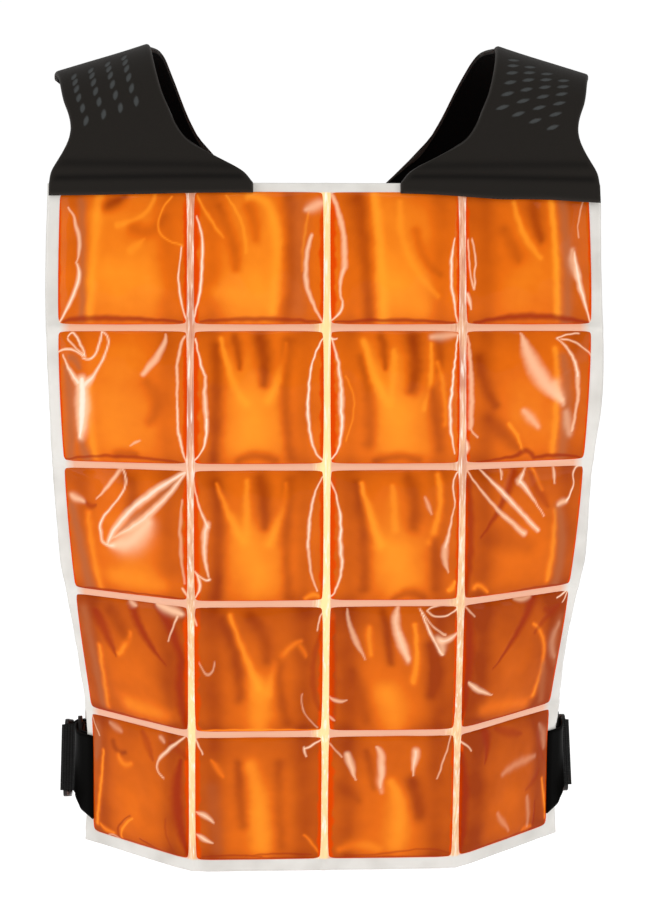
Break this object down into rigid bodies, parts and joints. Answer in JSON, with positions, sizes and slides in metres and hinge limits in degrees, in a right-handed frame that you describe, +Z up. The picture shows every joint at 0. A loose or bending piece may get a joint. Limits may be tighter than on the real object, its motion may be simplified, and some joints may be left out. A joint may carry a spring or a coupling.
{
  "type": "cooling vest",
  "caption": "Sleeveless cooling vest of gel-filled film pockets in a welded grid, front and back, with shoulder pads and side straps.",
  "frame": {"origin": "midway between the two shoulder pads at their crests, level with the pads' inner faces beside the neck", "axes": "+Z up, +X to the right as seen from the front, front panel towards -Y"},
  "size_m": [0.3862, 0.2564, 0.5808],
  "materials": {
    "film": "clear welded film, milky at the weld",
    "gel": "orange gel under glossy film",
    "neoprene": "matte charcoal neoprene",
    "lining": "black knit lining",
    "tab": "smooth black coated strap",
    "webbing": "ribbed black webbing",
    "slider": "black moulded plastic"
  },
  "bodies": {
    "root": {"front_film_left": "film", "front_film_middle": "film", "front_film_right": "film", "front_pocket_r1_c1": "gel", "front_pocket_r1_c2": "gel", "front_pocket_r1_c3": "gel", "front_pocket_r1_c4": "gel", "front_pocket_r2_c1": "gel", "front_pocket_r2_c2": "gel", "front_pocket_r2_c3": "gel", "front_pocket_r2_c4": "gel", "front_pocket_r3_c1": "gel", "front_pocket_r3_c2": "gel", "front_pocket_r3_c3": "gel", "front_pocket_r3_c4": "gel", "front_pocket_r4_c1": "gel", "front_pocket_r4_c2": "gel", "front_pocket_r4_c3": "gel", "front_pocket_r4_c4": "gel", "front_pocket_r5_c1": "gel", "front_pocket_r5_c2": "gel", "front_pocket_r5_c3": "gel", "front_pocket_r5_c4": "gel", "back_film_left": "film", "back_film_middle": "film", "back_film_right": "film", "back_pocket_r1_c1": "gel", "back_pocket_r1_c2": "gel", "back_pocket_r1_c3": "gel", "back_pocket_r1_c4": "gel", "back_pocket_r2_c1": "gel", "back_pocket_r2_c2": "gel", "back_pocket_r2_c3": "gel", "back_pocket_r2_c4": "gel", "back_pocket_r3_c1": "gel", "back_pocket_r3_c2": "gel", "back_pocket_r3_c3": "gel", "back_pocket_r3_c4": "gel", "back_pocket_r4_c1": "gel", "back_pocket_r4_c2": "gel", "back_pocket_r4_c3": "gel", "back_pocket_r4_c4": "gel", "back_pocket_r5_c1": "gel", "back_pocket_r5_c2": "gel", "back_pocket_r5_c3": "gel", "back_pocket_r5_c4": "gel", "left_shoulder_pad": "neoprene", "left_pad_lining": "lining", "left_webbing": "webbing", "left_front_tab": "tab", "left_front_slider": "slider", "left_back_tab": "tab", "left_back_slider": "slider", "right_shoulder_pad": "neoprene", "right_pad_lining": "lining", "right_webbing": "webbing", "right_front_tab": "tab", "right_front_slider": "slider", "right_back_tab": "tab", "right_back_slider": "slider"}
  },
  "joints": []
}
